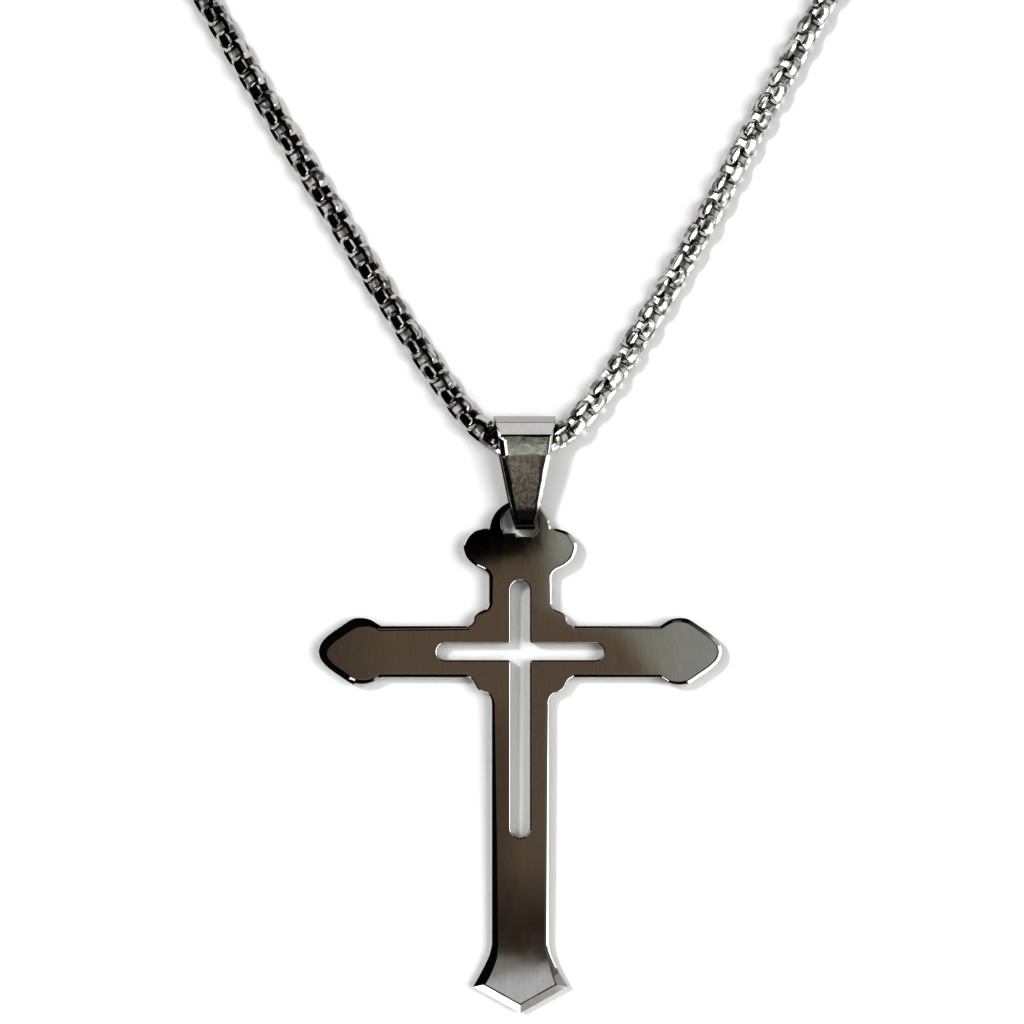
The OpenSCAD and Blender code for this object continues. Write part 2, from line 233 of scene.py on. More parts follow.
def settings(name):
    """The scene's values of one property group."""
    return getattr(bpy.context.scene, name)


def only(obj):
    """Deselects everything, then selects and activates one object."""
    bpy.ops.object.select_all(action="DESELECT")
    obj.select_set(True)
    bpy.context.view_layer.objects.active = obj


def merged_copy(node, name, cut_x=None, merge=WELD):
    """A copy of a CAD node with its triangles joined into whole faces. A cut at cut_x opens
    the faces that have a hole in them; points nearer than merge are then joined."""
    obj = bpy.data.objects.new(name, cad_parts[node].data.copy())
    obj.data.name = name
    obj.data.materials.clear()
    bpy.context.scene.collection.objects.link(obj)
    only(obj)
    bpy.ops.object.mode_set(mode="EDIT")
    bpy.ops.mesh.select_all(action="SELECT")
    bpy.ops.mesh.remove_doubles(threshold=WELD)
    bpy.ops.mesh.customdata_custom_splitnormals_clear()
    if cut_x is not None:
        bpy.ops.mesh.select_all(action="SELECT")
        bpy.ops.mesh.bisect(plane_co=(cut_x, 0, 0), plane_no=(1, 0, 0), threshold=WELD)
        bpy.ops.mesh.mark_seam()
    bpy.ops.mesh.select_all(action="SELECT")
    bpy.ops.mesh.dissolve_limited(angle_limit=math.radians(0.4), delimit={"SEAM"})
    if merge > WELD:
        bpy.ops.mesh.select_all(action="SELECT")
        bpy.ops.mesh.remove_doubles(threshold=merge)
    bpy.ops.mesh.select_all(action="SELECT")
    bpy.ops.mesh.mark_seam(clear=True)
    bpy.ops.object.mode_set(mode="OBJECT")
    return obj


def select_faces(obj, wanted):
    """In edit mode, selects the faces for which wanted(face) holds; at least one must."""
    bpy.ops.mesh.select_mode(type="FACE")
    bpy.ops.mesh.select_all(action="DESELECT")
    mesh = bmesh.from_edit_mesh(obj.data)
    count = 0
    for face in mesh.faces:
        if wanted(face):
            face.select_set(True)
            count += 1
    bmesh.update_edit_mesh(obj.data)
    if not count:
        raise RuntimeError(f"{obj.name} has no such face")


def select_edges(obj, wanted):
    """In edit mode, selects the edges between two faces for which wanted(edge) holds; at
    least one must."""
    bpy.ops.mesh.select_mode(type="EDGE")
    bpy.ops.mesh.select_all(action="DESELECT")
    mesh = bmesh.from_edit_mesh(obj.data)
    count = 0
    for edge in mesh.edges:
        if len(edge.link_faces) == 2 and wanted(edge):
            edge.select_set(True)
            count += 1
    bmesh.update_edit_mesh(obj.data)
    if not count:
        raise RuntimeError(f"{obj.name} has no such edge")


def finish_piece(obj, material, node=None):
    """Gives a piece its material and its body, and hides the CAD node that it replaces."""
    obj.data.materials.clear()
    obj.data.materials.append(material)
    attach(obj, "root")
    if node:
        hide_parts(node)


def mark_strong(obj):
    """Marks all faces of a piece as strong, before bevels add their weaker ones."""
    only(obj)
    bpy.ops.object.mode_set(mode="EDIT")
    bpy.ops.mesh.select_all(action="SELECT")
    bpy.ops.mesh.mod_weighted_strength(set=True, face_strength="STRONG")
    bpy.ops.object.mode_set(mode="OBJECT")


def flat_faces(obj, smooth):
    """Keeps the strong faces flat where the bevels round them are shaded smoothly."""
    only(obj)
    bpy.ops.object.shade_smooth_by_angle(angle=math.radians(smooth))
    bpy.ops.object.modifier_add(type="WEIGHTED_NORMAL")
    weigh = obj.modifiers[-1]
    weigh.mode = "FACE_AREA"
    weigh.weight = 100
    weigh.keep_sharp = True
    weigh.use_face_influence = True
    bpy.ops.object.modifier_apply(modifier=weigh.name)


# Node graphs

class Graph:
    """Short calls to add and link the nodes of one tree."""

    def __init__(self, tree):
        self.tree = tree
        tree.nodes.clear()

    def node(self, kind, **values):
        made = self.tree.nodes.new(kind)
        for key, value in values.items():
            setattr(made, key, value)
        return made

    def put(self, socket, value):
        if isinstance(value, bpy.types.NodeSocket):
            self.tree.links.new(value, socket)
        else:
            socket.default_value = value

    def math(self, operation, *values):
        made = self.node("ShaderNodeMath", operation=operation)
        for socket, value in zip(made.inputs, values):
            self.put(socket, value)
        return made.outputs[0]

    def step(self, value, low, high):
        """0 below low, 1 above high and a smooth change between them."""
        made = self.node("ShaderNodeMapRange", interpolation_type="SMOOTHSTEP")
        flip = low > high
        for key, number in (("Value", value), ("From Min", min(low, high)),
                            ("From Max", max(low, high)),
                            ("To Min", float(flip)), ("To Max", float(not flip))):
            self.put(made.inputs[key], number)
        return made.outputs[0]

    def mix(self, factor, a, b):
        made = self.node("ShaderNodeMix", data_type="RGBA")
        for socket, value in ((made.inputs[0], factor), (made.inputs[6], a),
                              (made.inputs[7], b)):
            if isinstance(value, tuple):
                value = (*value, 1.0)
            self.put(socket, value)
        return made.outputs[2]

    def noise(self, vector, detail=2.0, roughness=0.5):
        made = self.node("ShaderNodeTexNoise")
        self.put(made.inputs["Vector"], vector)
        made.inputs["Scale"].default_value = 1.0
        made.inputs["Detail"].default_value = detail
        made.inputs["Roughness"].default_value = roughness
        return made.outputs["Fac"]

    def stretched(self, *scale):
        """The piece's own coordinates, scaled to stretch a pattern along an axis."""
        place = self.node("ShaderNodeTexCoord").outputs["Object"]
        made = self.node("ShaderNodeMapping")
        self.put(made.inputs["Vector"], place)
        made.inputs["Scale"].default_value = scale
        return made.outputs[0]


def steel_shader(name, colour, roughness, height=None, distance=0.0):
    """A metal surface. Each of colour, roughness and height is a function that adds its
    pattern to the graph; distance is the height of the bumps."""
    material = bpy.data.materials.new(name)
    material.use_nodes = True
    graph = Graph(material.node_tree)
    shader = graph.node("ShaderNodeBsdfPrincipled")
    shader.inputs["Metallic"].default_value = 1.0
    out = graph.node("ShaderNodeOutputMaterial")
    graph.put(out.inputs["Surface"], shader.outputs[0])
    graph.put(shader.inputs["Base Color"], colour(graph))
    graph.put(shader.inputs["Roughness"], roughness(graph))
    if height:
        bump = graph.node("ShaderNodeBump")
        bump.inputs["Strength"].default_value = 1.0
        bump.inputs["Distance"].default_value = distance
        graph.put(bump.inputs["Height"], height(graph))
        graph.put(shader.inputs["Normal"], bump.outputs[0])
    return material


def tint(colour, factor):
    return tuple(min(1.0, part * factor) for part in colour)


def cross_steel():
    look = settings("pendant_steel")
    colour = tuple(look.colour)

    def streaked(graph):
        streaks = graph.noise(graph.stretched(5200, 420, 400), 3.0, 0.6)
        patches = graph.noise(graph.stretched(900, 500, 500), 2.0)
        both = graph.math("ADD", graph.math("MULTIPLY", streaks, 0.65),
                          graph.math("MULTIPLY", patches, 0.35))
        return graph.mix(graph.step(both, 0.33, 0.67), tint(colour, 0.95), tint(colour, 1.04))

    def polished(graph):
        haze = graph.noise(graph.stretched(700, 260, 400), 3.0)
        return graph.math("MULTIPLY_ADD", graph.step(haze, 0.3, 0.75), 0.015, look.polish - 0.005)

    def waves(graph):
        return graph.noise(graph.stretched(330, 210, 200), 2.0)

    return steel_shader("polished_steel", streaked, polished, waves, distance=1.2e-6)


def bail_steel():
    look = settings("pendant_steel")
    sizes = settings("pendant_bail")
    colour = tuple(look.colour)
    low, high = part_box("bail")
    knee = high.y - sizes.knee

    def above_knee(graph, y):
        """0 on the front below the knee, 1 on the pressed shoulder and the fold above it."""
        return graph.step(y, knee - 0.3 * MM, knee + 0.1 * MM)

    def place(graph):
        """The place across the bail and along its length."""
        split = graph.node("ShaderNodeSeparateXYZ")
        graph.put(split.inputs[0], graph.node("ShaderNodeTexCoord").outputs["Object"])
        return split.outputs["X"], split.outputs["Y"]

    def mottled(graph):
        fine = graph.noise(graph.stretched(2600, 2100, 2400), 4.0, 0.7)
        x, y = place(graph)
        # The spots are the steel's own mottling; their darkening towards the bottom of the panel is
        # painted shade.
        down = graph.step(y, high.y - 6 * MM, low.y + 3 * MM)
        spots = graph.mix(graph.step(fine, 0.38, 0.62),
                          graph.mix(down, tint(colour, 0.72), tint(colour, 0.4)),
                          graph.mix(down, tint(colour, 1.3), tint(colour, 0.85)))
        # Painted reflection: the shoulder, without the bevels beside it, is coloured green.
        beside = graph.math("ABSOLUTE", graph.math("SUBTRACT", x, (low.x + high.x) / 2))
        beside = graph.math("MULTIPLY_ADD", graph.math("SUBTRACT", y, knee), -0.34, beside)
        green = tuple(part * own for part, own in zip(colour, (1.2, 1.3, 1.18)))
        shoulder = graph.mix(graph.step(beside, 2.2 * MM, 2.3 * MM), green, tint(colour, 0.97))
        clean = graph.mix(graph.step(y, high.y - 2.6 * MM, high.y - 2.4 * MM), shoulder,
                          tint(colour, 0.97))
        # Painted shade: the upper one of the fold's two flat sides is darkened.
        clean = graph.mix(graph.step(y, high.y - 0.78 * MM, high.y - 0.7 * MM), clean,
                          tint(colour, 0.82))
        even = graph.mix(above_knee(graph, y), spots, clean)
        # Painted shade: the strip is made almost black where it turns round the ear, along a
        # wandering edge.
        wander = graph.math("MULTIPLY_ADD", fine, 0.8 * MM, y)
        dark = graph.step(wander, low.y + 3.5 * MM, low.y + 2.7 * MM)
        return graph.mix(dark, even, tint(colour, 0.08))

    def rough(graph):
        plain = above_knee(graph, place(graph)[1])
        haze = graph.noise(graph.stretched(1500, 700, 900), 2.0)
        worn = graph.math("MULTIPLY_ADD", haze, 0.12, 0.1)
        return graph.math("MULTIPLY_ADD", plain, -0.06, worn)

    def waves(graph):
        return graph.noise(graph.stretched(1500, 1300, 1300), 2.0)

    # Beside its mottling, the bail's colour carries painted shade and a painted reflection.
    return steel_shader("bail_steel_wear_and_painted_light", mottled, rough, waves, distance=5e-6)


def chain_steel(name, darkest):
    """Steel with soft patches, down to the darkest share of its colour."""
    look = settings("pendant_steel")
    colour = tuple(look.colour)

    def varied(graph):
        cloud = graph.noise(graph.stretched(950, 950, 950), 2.0)
        return graph.mix(graph.step(cloud, 0.38, 0.56), tint(colour, darkest),
                         tint(colour, 1.1))

    def smooth(graph):
        haze = graph.noise(graph.stretched(1900, 1900, 1900), 2.0)
        return graph.math("MULTIPLY_ADD", haze, 0.1, 0.07)

    return steel_shader(name, varied, smooth)


# The cross

def on_front(face):
    return face.normal.dot(FRONT) > PARALLEL


def on_back(face):
    return face.normal.dot(FRONT) < -PARALLEL


def round_edges(obj, width_at, wanted, steps, profile=0.5):
    """Bevels the wanted edges, with a width that may change from edge to edge."""
    weights = obj.data.attributes.get("bevel_weight_edge") \
        or obj.data.attributes.new("bevel_weight_edge", "FLOAT", "EDGE")
    shape = bmesh.new()
    shape.from_mesh(obj.data)
    shape.edges.ensure_lookup_table()
    values = [0.0] * len(shape.edges)
    widest = 0.0
    for edge in shape.edges:
        if len(edge.link_faces) == 2 and wanted(edge):
            values[edge.index] = width_at((edge.verts[0].co + edge.verts[1].co) / 2)
            widest = max(widest, values[edge.index])
    shape.free()
    if not widest:
        raise RuntimeError(f"{obj.name} has no edge to round")
    weights.data.foreach_set("value", [value / widest for value in values])
    only(obj)
    bpy.ops.object.modifier_add(type="BEVEL")
    bevel = obj.modifiers[-1]
    bevel.limit_method = "WEIGHT"
    bevel.width = widest
    bevel.segments = steps
    bevel.profile = profile
    bevel.use_clamp_overlap = False
    bevel.loop_slide = False
    bevel.face_strength_mode = "FSTR_NEW"
    bpy.ops.object.modifier_apply(modifier=bevel.name)
    left = obj.data.attributes.get("bevel_weight_edge")
    if left:
        obj.data.attributes.remove(left)


def level_faces(obj, least):
    """Shades the front, the back and every facet larger than least square metres as planes,
    up to the roundings round them."""
    mesh = obj.data
    planes = {}
    flat = {}
    for face in mesh.polygons:
        if on_front(face) or on_back(face):
            flat[face.index] = FRONT if face.normal.z > 0 else -FRONT
        elif face.area > least and 0.8 < face.normal.z < 0.95:
            flat[face.index] = face.normal.copy()
        if face.index in flat:
            for vertex in face.vertices:
                planes.setdefault(vertex, []).append(flat[face.index])
    normals = [corner.vector.copy() for corner in mesh.corner_normals]
    for face in mesh.polygons:
        for corner in face.loop_indices:
            near = planes.get(mesh.loops[corner].vertex_index, [])
            own = flat.get(face.index) or max(near, key=face.normal.dot, default=None)
            if own and face.normal.dot(own) > 0.97:
                normals[corner] = own
    mesh.normals_split_custom_set(normals)


def aim_faces(obj, wanted, normal_at):
    """Shades the wanted faces with the normals that normal_at(point) gives."""
    mesh = obj.data
    normals = [corner.vector.copy() for corner in mesh.corner_normals]
    count = 0
    for face in mesh.polygons:
        if wanted(face):
            for corner in face.loop_indices:
                point = mesh.vertices[mesh.loops[corner].vertex_index].co
                normals[corner] = normal_at(point).normalized()
            count += 1
    if not count:
        raise RuntimeError(f"{obj.name} has no face to aim")
    mesh.normals_split_custom_set(normals)


def polish_bevel(obj, narrowing, slope):
    """Moves the bevel's inner edge outwards by a share of its width, which narrowing(point)
    gives, and lifts its outer edge where the bevel would be steeper than slope(point)."""
    shape = bmesh.new()
    shape.from_mesh(obj.data)
    front = {vertex for face in shape.faces if on_front(face) for vertex in face.verts}
    bevel = {vertex for face in shape.faces if not on_front(face) and face.normal.z > 0.2
             for vertex in face.verts}
    inner, outer = front & bevel, bevel - front
    moved = []
    for vertex in inner:
        across = [other.co - vertex.co for edge in vertex.link_edges
                  for other in (edge.other_vert(vertex),) if other in outer]
        if across:
            way = min(across, key=lambda step: step.length)
            way = way - FRONT * way.dot(FRONT)
            moved.append((vertex, way * narrowing(vertex.co)))
    for vertex, way in moved:
        vertex.co += way
    rims = [(edge.verts[0].co, edge.verts[1].co) for edge in shape.edges
            if edge.verts[0] in inner and edge.verts[1] in inner]
    base = rims[0][0]
    lifted = []
    for vertex in outer:
        depth = (base - vertex.co).dot(FRONT)
        foot = vertex.co + FRONT * depth
        width = min((foot - nearest(foot, *rim)).length for rim in rims)
        most = max(width * math.tan(slope(vertex.co)), 0.2 * MM)
        if depth > most:
            lifted.append((vertex, (depth - most) / FRONT.z))
    for vertex, rise in lifted:
        vertex.co.z += rise
    shape.to_mesh(obj.data)
    shape.free()
    if not moved or not lifted:
        raise RuntimeError("the cross's bevel was not found")


def nearest(point, a, b):
    """The point of the line from a to b that lies nearest to the given one."""
    along = b - a
    share = (point - a).dot(along) / max(along.dot(along), 1e-18)
    return a + along * min(max(share, 0), 1)


def ramp(value, low, high):
    return min(max((value - low) / (high - low), 0), 1)


class PENDANT_OT_cross(bpy.types.Operator):
    """Builds the cross: a flat plate with polished, rounded rims and a cross-shaped slot"""

    bl_idname = "pendant.add_cross"
    bl_label = "Cross"

    def execute(self, context):
        sizes = settings("pendant_cross")
        low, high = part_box("cross")
        middle_x = (low.x + high.x) / 2
        # The slot and the hole lie on the plate's middle line: a cut there opens both. Each
        # half of the front and of the back is then cut into even triangles for the bevels.
        obj = merged_copy("cross", "cross_plate", middle_x, 25e-6)

        def narrowing(point):
            """Shaft, arms and neck have a narrow bevel; the foot, the lobes and the upper half
            of the left tip a wide one. Down the shaft it widens, most on the left. Places are
            in millimetres from the middle line and up from the foot's point."""
            x, y = (point.x - middle_x) / MM, (point.y - low.y) / MM
            down_shaft = ramp(y, 38, 9)
            if x < 0:
                share = sizes.narrow - 0.8 * down_shaft
                above_arm, below_lobe = ramp(y, 48.5, 49.5), ramp(y, 55, 53)
                share *= (1 - 0.7 * above_arm) * below_lobe
                tip = 0.3 * ramp(y, 46, 44)
            else:
                at_lobe = ramp(y, 53, 55)
                share = (sizes.narrow - 0.12 * down_shaft) * (1 - 0.65 * at_lobe)
                tip = 0.55
            above_foot, on_tip = ramp(y, 4, 7), ramp(abs(x), 16.5, 18.5)
            return share * above_foot * (1 - on_tip) + tip * on_tip

        def slope(point):
            """The foot's bevels are flatter than the rest."""
            on_foot = ramp((point.y - low.y) / MM, 8.5, 7)
            return sizes.slope * (1 - 0.17 * on_foot)

        polish_bevel(obj, narrowing, slope)
        only(obj)
        bpy.ops.object.mode_set(mode="EDIT")
        select_faces(obj, lambda face: len(face.verts) > 60)
        bpy.ops.mesh.quads_convert_to_tris(quad_method="BEAUTY", ngon_method="BEAUTY")
        bpy.ops.object.mode_set(mode="OBJECT")
        mark_strong(obj)

        def rim(edge):
            a, b = edge.link_faces
            return on_front(a) != on_front(b) and min(a.normal.z, b.normal.z) > 0.4

        def slot_edge(edge):
            a, b = edge.link_faces
            return on_front(a) != on_front(b) and min(a.normal.z, b.normal.z) < 0.2

        def wall_edge(edge):
            wall, bevel = sorted(face.normal.z for face in edge.link_faces)
            return abs(wall) < 0.2 and 0.4 < bevel < 0.97

        def rim_width(point):
            """The rounding is even but for the ear, whose bevel is too narrow for it."""
            x, y = abs(point.x - middle_x) / MM, (point.y - low.y) / MM
            return 0 if x < 4.2 and y > 60.3 else sizes.rim_round

        round_edges(obj, rim_width, rim, 3)
        round_edges(obj, lambda point: sizes.slot_round, slot_edge, 3, 0.32)
        # The ear is left out here too.
        round_edges(obj, lambda point: 0 if point.y > high.y - EAR else sizes.wall_round,
                    wall_edge, 3)
        flat_faces(obj, 24)
        level_faces(obj, 0.9 * MM * MM)
        # Shading normals: the ear's left bevel and the top of the left tip's show the dark
        # side of the studio.
        aim_faces(obj, lambda face: face.center.y > high.y - EAR
                  and face.center.x < middle_x and face.normal.x < -0.1
                  and 0.3 < face.normal.z < 0.98, lambda point: Vector((-0.2, 0.15, 0.97)))
        aim_faces(obj, lambda face: face.center.x < low.x + 7 * MM and face.normal.y > 0.2
                  and 0.8 < face.normal.z < 0.97, lambda point: Vector((-0.3, 0.45, 0.84)))
        finish_piece(obj, cross_steel(), "cross")
        return {"FINISHED"}


class PENDANT_OT_bail(bpy.types.Operator):
    """Builds the folded bail: two flat sides on the top fold, a pressed knee, bevelled edges"""

    bl_idname = "pendant.add_bail"
    bl_label = "Bail"

    def execute(self, context):
        sizes = settings("pendant_bail")
        low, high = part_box("bail")
        obj = merged_copy("bail", "bail_strip")
        centre = Vector((high.y - sizes.fold, high.z - sizes.fold))
        pressed = 0
        for vertex in obj.data.vertices:
            out = vertex.co.yz - centre
            angle = math.atan2(out.y, out.x)
            if 0 < angle < math.pi / 2 and abs(out.length - sizes.fold) < 0.03 * MM:
                # The round fold is pressed flat on both sides of one ridge.
                first = angle < sizes.fold_break
                start, end = (0, sizes.fold_break) if first else (sizes.fold_break, math.pi / 2)
                reach = sizes.fold * math.cos((end - start) / 2) \
                    / math.cos(angle - (start + end) / 2)
                vertex.co.yz = centre + Vector((math.cos(angle), math.sin(angle))) * reach
                pressed += 1
            elif abs(vertex.co.y - (high.y - sizes.knee)) < 0.1 * MM and out.y > 0.8 * MM:
                vertex.co.z -= sizes.knee_drop
        if not pressed:
            raise RuntimeError("the bail's top fold was not found")
        only(obj)
        bpy.ops.object.mode_set(mode="EDIT")
        bpy.ops.mesh.select_all(action="SELECT")
        bpy.ops.mesh.dissolve_limited(angle_limit=math.radians(0.6))
        select_edges(obj, lambda edge: any(
            face.normal.y > 0.25 and face.normal.z > 0.15 and abs(face.normal.x) < 0.1
            for face in edge.link_faces) and any(
            abs(face.normal.x) > 0.9 for face in edge.link_faces))
        bpy.ops.mesh.bevel(offset=sizes.side_bevel, segments=1, affect="EDGES",
                           clamp_overlap=True)
        bpy.ops.object.mode_set(mode="OBJECT")
        mark_strong(obj)

        def beside_panel(edge):
            """The edges between the front below the fold and its two slanting sides."""
            flat, slant = sorted(edge.link_faces, key=lambda face: abs(face.normal.x))
            return abs(flat.normal.x) < 0.1 and flat.normal.z > 0.96 and flat.normal.y < 0.05 \
                and 0.4 < abs(slant.normal.x) < 0.85 and slant.normal.z > 0.5

        round_edges(obj, lambda point: sizes.side_round, beside_panel, 3)
        round_edges(obj, lambda point: sizes.edge_round,
                    lambda edge: edge.calc_face_angle() > math.radians(24), 2)
        flat_faces(obj, 32)
        fold_y, knee_y = high.y - sizes.fold, high.y - sizes.knee

        def hollow(point):
            """Shading normal of the pressed shoulder, which leans more towards the knee."""
            lean = math.radians(5.7 - 0.6 * ramp(point.y, knee_y, fold_y))
            return Vector((0, -math.sin(lean), math.cos(lean)))

        aim_faces(obj, lambda face: knee_y < face.center.y < fold_y and face.center.z > centre.y
                  and face.normal.z > 0.95 and abs(face.normal.x) < 0.1, hollow)

        def left_edge(face):
            """Finds the bevel on the left of the fold and its narrow run down to the knee."""
            place, tilt = face.center, face.normal
            if place.y < knee_y or place.z < centre.y or tilt.z < 0.2:
                return False
            return -0.9 < tilt.x < -0.2 if place.y > fold_y - 1.5 * sizes.side_bevel \
                else -0.42 < tilt.x < -0.28

        aim_faces(obj, left_edge, lambda point: Vector((-0.51, 0.335, 0.79)))
        finish_piece(obj, bail_steel(), "bail")
        return {"FINISHED"}


# The chain

def curve_point(a, b, c, d, t):
    return 0.5 * (2 * b + (c - a) * t + (2 * a - 5 * b + 4 * c - d) * t * t
                  + (3 * b - a - 3 * c + d) * t * t * t)


def chain_line():
    """Finely divided middle line of the chain in metres, with its length at each point."""
    middle = Vector(CLASP_MIDDLE)
    reach = Vector((CHAIN_END_REACH, 0, 0))
    rows = [middle - reach, *map(Vector, CHAIN_ROUTE), middle + reach]
    line = []
    for i in range(len(rows) - 1):
        a, b, c, d = (rows[max(i - 1, 0)], rows[i], rows[i + 1], rows[min(i + 2, len(rows) - 1)])
        line += [curve_point(a, b, c, d, j / 24) * MM for j in range(24)]
    line.append(rows[-1] * MM)
    length = [0.0]
    for a, b in zip(line, line[1:]):
        length.append(length[-1] + (b - a).length)
    return line, length


def point_at(line, length, s):
    """The point of the line at length s from its start."""
    low, high = 0, len(length) - 1
    while high - low > 1:
        middle = (low + high) // 2
        if length[middle] <= s:
            low = middle
        else:
            high = middle
    t = (s - length[low]) / (length[high] - length[low])
    return line[low].lerp(line[high], t)


def model_link(sizes):
    """One link about the origin, along X: a block with rounded ends and a crowned outside,
    opened through its flat sides."""
    radius, half = sizes.diameter / 2, sizes.link_width / 2
    shoulder = math.sqrt(radius * radius - half * half)
    bpy.ops.object.select_all(action="DESELECT")
    bpy.ops.mesh.primitive_cube_add(
        size=1, scale=(sizes.link_length, sizes.link_width, 2 * shoulder),
    )
    link = bpy.context.object
    bpy.ops.object.transform_apply(location=True, rotation=True, scale=True)
    bpy.ops.object.mode_set(mode="EDIT")
    # The four corners of the ring are rounded.
    select_edges(link, lambda edge: all(abs(face.normal.y) < 0.1 for face in edge.link_faces))
    bpy.ops.mesh.bevel(offset=sizes.corner, segments=2, profile=0.5, affect="EDGES",
                       clamp_overlap=False)
    # A middle line, raised to the chain's radius, crowns the outside of the bars.
    bpy.ops.mesh.select_all(action="SELECT")
    bpy.ops.mesh.bisect(plane_co=(0, 0, 0), plane_no=(0, 1, 0))
    crown = radius / shoulder
    bpy.ops.transform.resize(value=(1 + (crown - 1) * 0.4, 1, crown))
    # The link's two flat sides are drawn in by the bar's thickness and joined through.
    select_faces(link, lambda face: abs(face.normal.y) > 0.99)
    bpy.ops.mesh.inset(thickness=sizes.bar, depth=0)
    bpy.ops.mesh.bridge_edge_loops()
    bpy.ops.mesh.select_all(action="SELECT")
    bpy.ops.mesh.normals_make_consistent(inside=False)
    bpy.ops.object.mode_set(mode="OBJECT")
    return link


class PENDANT_OT_chain(bpy.types.Operator):
    """Models one link and lays its copies along the route, turned a quarter from link to link"""

    bl_idname = "pendant.add_chain"
    bl_label = "Chain"

    def execute(self, context):
        sizes = settings("pendant_chain")
        link = model_link(sizes)
        shape = [vertex.co.copy() for vertex in link.data.vertices]
        faces = [tuple(face.vertices) for face in link.data.polygons]
        bpy.data.objects.remove(link)
        line, length = chain_line()
        whole = length[-1]
        gaps = round((whole - sizes.link_length) / sizes.pitch / 2) * 2
        pitch = (whole - sizes.link_length) / gaps
        vertices, polygons = [], []
        for i in range(gaps + 1):
            s = sizes.link_length / 2 + i * pitch
            back = point_at(line, length, max(s - pitch / 2, 0))
            ahead = point_at(line, length, min(s + pitch / 2, whole))
            along = (ahead - back).normalized()
            side = along.cross(UP).normalized()
            top = side.cross(along)
            # Over the last 20 mm the links turn level, to meet the jump rings.
            ease = min(1.0, min(s, whole - s) / (20 * MM))
            # No two links lie quite alike.
            loose = math.radians(3.5) * (math.sin(2.4 * i) + math.sin(0.37 * i))
            turn = (sizes.roll + loose) * ease + (math.pi / 2 if i % 2 == 0 else 0)
            across = side * math.cos(turn) + top * math.sin(turn)
            other = along.cross(across)
            middle = (back + ahead) / 2
            base = len(vertices)
            vertices += [middle + along * v.x + across * v.y + other * v.z for v in shape]
            polygons += [tuple(base + k for k in face) for face in faces]
        mesh = bpy.data.meshes.new("chain_links")
        mesh.from_pydata(vertices, [], polygons)
        obj = bpy.data.objects.new("chain_links", mesh)
        context.scene.collection.objects.link(obj)
        only(obj)
        bpy.ops.object.shade_smooth_by_angle(angle=math.radians(50))
        finish_piece(obj, chain_steel("chain_steel", 0.3), "chain")
        return {"FINISHED"}


class PENDANT_OT_clasp(bpy.types.Operator):
    """Builds the barrel clasp at the back of the neck"""

    bl_idname = "pendant.add_clasp"
    bl_label = "Clasp"

    def execute(self, context):
        obj = merged_copy("clasp", "clasp_barrel")
        bpy.ops.object.mode_set(mode="EDIT")
        bpy.ops.mesh.select_mode(type="EDGE")
        bpy.ops.mesh.select_all(action="DESELECT")
        bpy.ops.mesh.edges_select_sharp(sharpness=math.radians(30))
        bpy.ops.mesh.bevel(offset=0.08 * MM, segments=2, profile=0.5, affect="EDGES",
                           clamp_overlap=True)
        bpy.ops.object.mode_set(mode="OBJECT")
        flat_faces(obj, 35)
        finish_piece(obj, chain_steel("clasp_steel", 0.9), "clasp")
        return {"FINISHED"}


class PENDANT_OT_jump_rings(bpy.types.Operator):
    """Bends two split wire rings that join the ends of the chain to the clasp's eyes"""

    bl_idname = "pendant.add_jump_rings"
    bl_label = "Jump rings"

    def execute(self, context):
        sizes = settings("pendant_chain")
        low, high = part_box("clasp")
        centre = (low + high) / 2
        wire = sizes.ring_wire / 2
        rings = []
        for way in (-1, 1):
            bpy.ops.object.select_all(action="DESELECT")
            middle = centre + Vector((way * ((high.x - low.x) / 2 + 0.1 * MM), 0, 0))
            # A disc of wire at the ring's top, swept round the ring's middle almost to a close
            start = middle + Vector((0, 0, sizes.ring / 2 - wire))
            bpy.ops.mesh.primitive_circle_add(vertices=10, radius=wire, fill_type="NGON",
                                              location=start, rotation=(0, math.pi / 2, 0))
            ring = context.object
            bpy.ops.object.transform_apply(location=True, rotation=True, scale=True)
            bpy.ops.object.mode_set(mode="EDIT")
            bpy.ops.mesh.select_all(action="SELECT")
            bpy.ops.mesh.spin(steps=30, angle=math.radians(354), center=middle, axis=(0, 1, 0))
            bpy.ops.mesh.select_all(action="SELECT")
            bpy.ops.mesh.remove_doubles(threshold=1e-6)
            bpy.ops.mesh.normals_make_consistent(inside=False)
            bpy.ops.object.mode_set(mode="OBJECT")
            rings.append(ring)
        only(rings[0])
        rings[1].select_set(True)
        bpy.ops.object.join()
        obj = context.object
        obj.name = obj.data.name = "jump_rings"
        bpy.ops.object.shade_smooth_by_angle(angle=math.radians(50))
        finish_piece(obj, bpy.data.materials["chain_steel"])
        return {"FINISHED"}


def add_lamp(place, strength, width, towards):
    """A distant lamp, width degrees wide, that shines from the given direction."""
    bpy.ops.object.light_add(type="SUN", location=place)
    lamp = bpy.context.object
    lamp.data.energy = strength
    lamp.data.angle = math.radians(width)
    lamp.visible_glossy = False
    lamp.rotation_mode = "QUATERNION"
    lamp.rotation_quaternion = towards.to_track_quat("Z", "Y")


